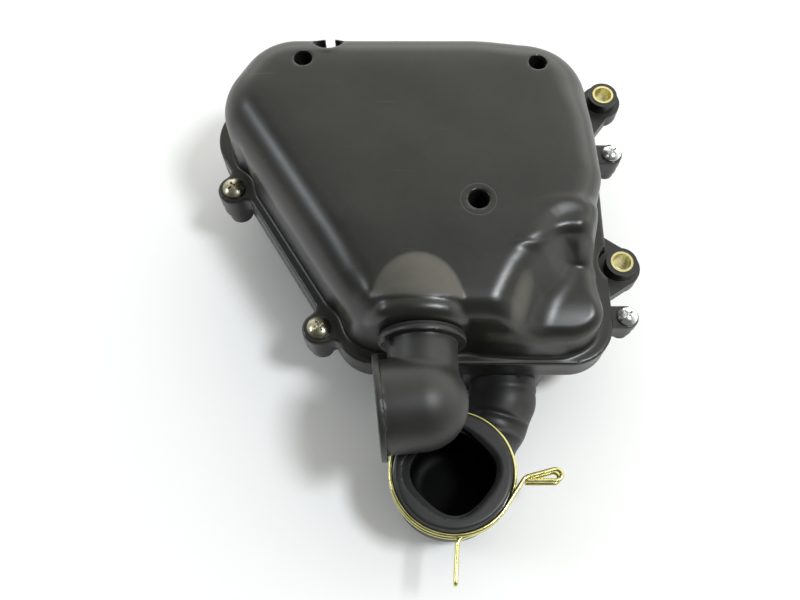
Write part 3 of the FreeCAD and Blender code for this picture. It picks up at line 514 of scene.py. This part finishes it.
def plastic(name, dark, light, rough=(0.30, 0.42), scratch=0.5, spec=0.5, sheen_and_marks_at=()):
    m = Mat(name)
    cloud = m.noise(28, 4, 0.6)
    fine = m.noise(900, 2, 0.5)
    base = m.ramp(cloud, [(0.25, dark), (0.75, light)])
    # faint handling scratches in three directions
    marks = None
    for k, (rot, sc, thr) in enumerate((((0, 0, 0.35), (30, 700, 30), 0.695), ((0, 0, -0.9), (40, 900, 40), 0.70), ((0, 0, 1.75), (22, 620, 22), 0.70))):
        f = m.noise(1.0, 2.5, 0.5, m.stretch(sc, rot))
        line = m.span(f, thr, thr + 0.03, 0.0, 1.0)
        patch = m.span(m.noise(17 + 5 * k, 1.5, 0.5, m.stretch((1, 1, 1), (k, k, k))), 0.50, 0.62, 0.0, 1.0)
        line = m.math("MULTIPLY", line, patch)
        marks = line if marks is None else m.math("MAXIMUM", marks, line)
    marks = m.math("MULTIPLY", marks, scratch)
    col = m.mix(m.math("MULTIPLY", marks, 0.35), base, (0.16, 0.16, 0.15))
    dust = m.span(m.noise(650, 1.0, 0.4), 0.71, 0.77, 0.0, 0.10)
    col = m.mix(dust, col, (0.07, 0.07, 0.066))
    film = m.span(m.noise(30, 7, 0.78), 0.40, 0.70, 0.0, 0.36)
    col = m.mix(film, col, (0.034, 0.034, 0.031))
    r = m.span(m.noise(12, 5, 0.65), 0.3, 0.7, rough[0], rough[1])
    r = m.math("ADD", r, m.math("MULTIPLY", marks, 0.18))
    if sheen_and_marks_at:
        split = m.node("ShaderNodeSeparateXYZ")
        m.link(m.co, split.inputs[0])
        px, py, pz = split.outputs
        for (cx, cy), (rx, ry), turn, (z0, z1), (e0, e1), amount in sheen_and_marks_at:
            c, t = math.cos(turn), math.sin(turn)
            dx, dy = m.math("SUBTRACT", px, cx), m.math("SUBTRACT", py, cy)
            u = m.math("DIVIDE", m.math("ADD", m.math("MULTIPLY", dx, c), m.math("MULTIPLY", dy, t)), rx)
            v = m.math("DIVIDE", m.math("SUBTRACT", m.math("MULTIPLY", dy, c), m.math("MULTIPLY", dx, t)), ry)
            far = m.math("ADD", m.math("MULTIPLY", u, u), m.math("MULTIPLY", v, v))
            # each patch is rougher and painted lighter: painted sheen on the dome's top, painted reflection along the
            # valley strip
            wear_and_sheen = m.math("MULTIPLY", m.span(far, e0, e1, amount, 0.0), m.span(pz, z0, z1, 0.0, 1.0))
            wear_and_sheen = m.math("MULTIPLY", wear_and_sheen, m.span(py, -0.0315, -0.0300, 0.0 if rx > 0.01 else 1.0, 1.0))
            # the painted sheen on the dome grows towards its right and top, where the light falls on it
            wear_and_sheen = m.math("MULTIPLY", wear_and_sheen, m.span(m.math("ADD", px, py), cx + cy - 0.004, cx + cy + 0.018, 0.45 if rx > 0.01 else 1.0, 1.0))
            wear_and_sheen = m.math("MULTIPLY", wear_and_sheen, m.span(m.noise(90, 4, 0.6), 0.2, 0.8, 0.75, 1.0))
            col = m.mix(wear_and_sheen, col, (0.084, 0.078, 0.063))
            r = m.math("ADD", r, m.math("MULTIPLY", wear_and_sheen, 0.28))
        hx, hy, hr = FAINT_RING
        dx, dy = m.math("SUBTRACT", px, hx), m.math("SUBTRACT", py, hy)
        rad = m.math("SQRT", m.math("ADD", m.math("MULTIPLY", dx, dx), m.math("MULTIPLY", dy, dy)), 0.0)
        ring = m.span(m.math("ABSOLUTE", m.math("SUBTRACT", rad, hr), 0.0), 0.0, 0.00045, 1.0, 0.0)
        ring = m.math("MULTIPLY", ring, m.span(pz, 0.040, 0.043, 0.0, 1.0))
        col = m.mix(m.math("MULTIPLY", ring, 0.35), col, (0.06, 0.06, 0.056))
        m.bump(ring, 0.35, -0.0002)
    m.link(col, m.b.inputs["Base Color"])
    m.link(r, m.b.inputs["Roughness"])
    m.b.inputs["Specular IOR Level"].default_value = spec
    m.bump(m.noise(2600, 2, 0.5), 0.10, 0.00008)
    m.bump(m.noise(45, 2, 0.4), 0.10, 0.0006)
    m.bump(marks, 0.12, 0.00005)
    return m.m

def rubber(name, dark, light, rough=(0.48, 0.62), spec=0.4, painted_shade_in_hollow=None):
    m = Mat(name)
    base = m.ramp(m.noise(60, 5, 0.62), [(0.3, dark), (0.72, light)])
    bloom = m.span(m.noise(22, 4, 0.6), 0.52, 0.74, 0.0, 0.35)
    col = m.mix(bloom, base, (0.055, 0.056, 0.052))
    dust = m.span(m.noise(700, 1.0, 0.4), 0.70, 0.76, 0.0, 0.15)
    col = m.mix(dust, col, (0.10, 0.10, 0.095))
    # painted shade in the boot's hollow: near-black colour and almost no specular within the drum's radius below z = 0
    if painted_shade_in_hollow:
        split = m.node("ShaderNodeSeparateXYZ")
        m.link(m.co, split.inputs[0])
        px, py, pz = split.outputs
        dx, dy = m.math("SUBTRACT", px, painted_shade_in_hollow[0]), m.math("SUBTRACT", py, painted_shade_in_hollow[1])
        rad = m.math("SQRT", m.math("ADD", m.math("MULTIPLY", dx, dx), m.math("MULTIPLY", dy, dy)), 0.0)
        inside = m.math("MULTIPLY", m.span(rad, painted_shade_in_hollow[2], painted_shade_in_hollow[2] + 0.0008, 1.0, 0.0), m.span(pz, 0.0, 0.005, 1.0, 0.0))
        col = m.mix(inside, col, (0.0015, 0.0015, 0.0015))
        spec = m.span(inside, 0.0, 1.0, spec, 0.05)
    m.link(col, m.b.inputs["Base Color"])
    m.link(m.span(m.noise(38, 4, 0.6), 0.3, 0.7, rough[0], rough[1]), m.b.inputs["Roughness"])
    if painted_shade_in_hollow:
        m.link(spec, m.b.inputs["Specular IOR Level"])
    else:
        m.b.inputs["Specular IOR Level"].default_value = spec
    m.bump(m.noise(1500, 3, 0.6), 0.2, 0.00012)
    m.bump(m.noise(160, 3, 0.5), 0.12, 0.0004)
    return m.m

def metal(name, dark, light, rough=(0.18, 0.34), stain=(0.3, 0.22, 0.1), stain_amount=0.35, bump=0.15, scale=260):
    m = Mat(name)
    base = m.ramp(m.noise(scale, 4, 0.6), [(0.3, dark), (0.7, light)])
    st = m.span(m.noise(scale * 0.45, 5, 0.65, m.stretch((1, 1, 1), (1, 2, 3))), 0.5, 0.72, 0.0, stain_amount)
    m.link(m.mix(st, base, stain), m.b.inputs["Base Color"])
    m.b.inputs["Metallic"].default_value = 1.0
    m.link(m.span(m.noise(scale * 1.6, 3, 0.6), 0.3, 0.7, rough[0], rough[1]), m.b.inputs["Roughness"])
    m.bump(m.noise(scale * 5, 3, 0.6), bump, 0.00006)
    return m.m

def foam_mat(name):
    m = Mat(name)
    v = m.node("ShaderNodeTexVoronoi", i_Scale=700.0)
    m.link(m.co, v.inputs["Vector"])
    cells = v.outputs["Distance"]
    col = m.ramp(cells, [(0.1, (0.035, 0.018, 0.008)), (0.45, (0.16, 0.075, 0.028)), (0.8, (0.30, 0.15, 0.06))])
    wet = m.span(m.noise(25, 4, 0.6), 0.42, 0.68, 0.0, 0.45)
    m.link(m.mix(wet, col, (0.06, 0.03, 0.012)), m.b.inputs["Base Color"])
    m.link(m.span(m.noise(60, 3, 0.6), 0.3, 0.7, 0.75, 0.95), m.b.inputs["Roughness"])
    m.bump(cells, 0.9, 0.0007)
    return m.m

M_COVER = plastic("cover_plastic", (0.0085, 0.0090, 0.0072), (0.0125, 0.0130, 0.0105), rough=(0.29, 0.38), scratch=0.45, sheen_and_marks_at=COVER_WEAR_AND_SHEEN)
M_CASE = plastic("case_plastic", (0.010, 0.0105, 0.009), (0.015, 0.0155, 0.013), rough=(0.32, 0.45), scratch=0.2)
M_ELBOW = plastic("elbow_plastic", (0.011, 0.0112, 0.0105), (0.016, 0.0162, 0.015), rough=(0.40, 0.50), scratch=0.15)
M_GRID = plastic("grid_plastic", (0.024, 0.024, 0.025), (0.034, 0.034, 0.035), rough=(0.4, 0.52), scratch=0.1)
M_BOOT = rubber("boot_rubber", (0.009, 0.0092, 0.009), (0.017, 0.0172, 0.0165), rough=(0.36, 0.52), painted_shade_in_hollow=(-0.0680, -0.0812, 0.0205))
M_SEAL = rubber("seal_rubber", (0.010, 0.010, 0.010), (0.020, 0.020, 0.020), rough=(0.55, 0.7))
M_FOAM = foam_mat("foam")
M_CLAMP = metal("clamp_zinc", (0.50, 0.47, 0.16), (0.74, 0.71, 0.34), rough=(0.16, 0.28), stain=(0.42, 0.34, 0.12), stain_amount=0.5)
M_COLLAR = metal("collar_zinc", (0.56, 0.50, 0.19), (0.80, 0.74, 0.40), rough=(0.22, 0.36), stain=(0.5, 0.36, 0.12))
M_OLIVE = metal("screw_olive", (0.30, 0.28, 0.20), (0.50, 0.47, 0.36), rough=(0.2, 0.36), stain=(0.16, 0.14, 0.08), stain_amount=0.5)
M_BRIGHT = metal("screw_bright", (0.70, 0.71, 0.72), (0.88, 0.89, 0.90), rough=(0.12, 0.26), stain=(0.5, 0.5, 0.5), stain_amount=0.4)
BY_SLOT = {"cover_plastic": M_COVER, "case_plastic": M_CASE, "elbow_plastic": M_ELBOW, "grid_plastic": M_GRID, "boot_rubber": M_BOOT,
           "seal_rubber": M_SEAL, "foam": M_FOAM, "clamp_zinc": M_CLAMP, "collar_zinc": M_COLLAR, "screw_olive": M_OLIVE, "screw_bright": M_BRIGHT}

def paint(o, mat):
    o.data.materials.clear()
    o.data.materials.append(mat)

for entry in frame["record"]["subparts"]:
    o = frame["nodes"][entry["node"]]
    for s in o.material_slots:
        s.material = BY_SLOT[entry["material_slot"]]
    if not o.material_slots:
        o.data.materials.append(BY_SLOT[entry["material_slot"]])

# ================================================================ pieces
H = 0.8
cover = contour("cover_moulding", f_cover, (-166.0, -46.0, -2.5), (9.0, 103.0, 48.5), H)
paint(cover, M_COVER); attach(cover, "cover"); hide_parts("front_cover")

elbow = contour("elbow_moulding", f_elbow, (-101.0, -86.0, 5.0), (-60.0, -31.0, 47.0), H * 0.75)
paint(elbow, M_ELBOW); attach(elbow, "elbow"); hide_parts("intake_elbow")

boot = contour("boot_moulding", f_boot, (-95.0, -108.5, -33.0), (-29.0, -39.0, 9.0), H * 0.75)
paint(boot, M_BOOT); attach(boot, "case"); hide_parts("outlet_boot")

# ================================================================ floor, light and camera
def plane(name, verts, mat):
    me = bpy.data.meshes.new(name)
    me.from_pydata(verts, [], [tuple(range(len(verts)))])
    o = bpy.data.objects.new(name, me)
    SCENE.collection.objects.link(o)
    o.data.materials.append(mat)
    return o

fm = Mat("floor_paint")
fm.link(fm.ramp(fm.noise(3, 2, 0.5), [(0.3, (0.90, 0.90, 0.90)), (0.7, (0.93, 0.93, 0.93))]), fm.b.inputs["Base Color"])
fm.set(Roughness=0.9)
FLOOR_Z = CAD_LO.z - 0.0002
floor = plane("floor", [(-3, -3, FLOOR_Z), (3, -3, FLOOR_Z), (3, 3, FLOOR_Z), (-3, 3, FLOOR_Z)], fm.m)

world = bpy.data.worlds.new("studio")
world.use_nodes = True
wt = world.node_tree
direction = wt.nodes.new("ShaderNodeTexCoord").outputs["Generated"]
slope = wt.nodes.new("ShaderNodeVectorMath")
slope.operation = "DOT_PRODUCT"
slope.inputs[1].default_value = (0.35, 0.75, -0.50)
wt.links.new(direction, slope.inputs[0])
spread = wt.nodes.new("ShaderNodeMapRange")
spread.inputs["From Min"].default_value, spread.inputs["From Max"].default_value = -0.8, 0.8
wt.links.new(slope.outputs["Value"], spread.inputs["Value"])
sky = wt.nodes.new("ShaderNodeValToRGB")
wt.links.new(spread.outputs["Result"], sky.inputs["Fac"])
for k, (at, level) in enumerate(((0.05, 0.16), (0.18, 0.24), (0.50, 0.98), (0.62, 1.5), (0.85, 2.4))):
    e = sky.color_ramp.elements[k] if k < 2 else sky.color_ramp.elements.new(at)
    e.position, e.color = at, (level, level * 0.995, level * 0.93, 1)
wt.links.new(sky.outputs["Color"], wt.nodes["Background"].inputs["Color"])
wt.nodes["Background"].inputs["Strength"].default_value = 1.0
SCENE.world = world

def area(name, loc, target, size, power, color=(1, 1, 1)):
    d = bpy.data.lights.new(name, "AREA")
    d.shape = "RECTANGLE"
    d.size, d.size_y = size
    d.energy = power
    d.color = color
    o = bpy.data.objects.new(name, d)
    SCENE.collection.objects.link(o)
    o.location = loc
    o.rotation_euler = (Vector(target) - Vector(loc)).to_track_quat("-Z", "Y").to_euler()
    return o

CENTRE = Vector((-0.08, 0.0, 0.03))

def softbox(name, towards, distance, size, power, color):
    loc = CENTRE + Vector(towards).normalized() * distance
    return area(name, loc, CENTRE, size, power, color)

softbox("right_softbox", (0.42, -0.14, 0.88), 0.95, (0.17, 0.17), 5.5, (0.93, 0.97, 1.0))
softbox("left_window", (-0.82, 0.06, 0.55), 0.95, (0.34, 0.17), 2.0, (0.88, 0.94, 1.0))

cam_data = bpy.data.cameras.new("camera")
cam_data.sensor_width = 36.0
cam_data.lens = 38.25
cam_data.clip_start, cam_data.clip_end = 0.01, 20
cam = bpy.data.objects.new("camera", cam_data)
SCENE.collection.objects.link(cam)
cam.location = (-0.0869, -0.14585, 0.307)
cam.rotation_euler = (math.radians(23.4), 0, 0)
SCENE.camera = cam
SCENE.view_settings.view_transform = "Standard"
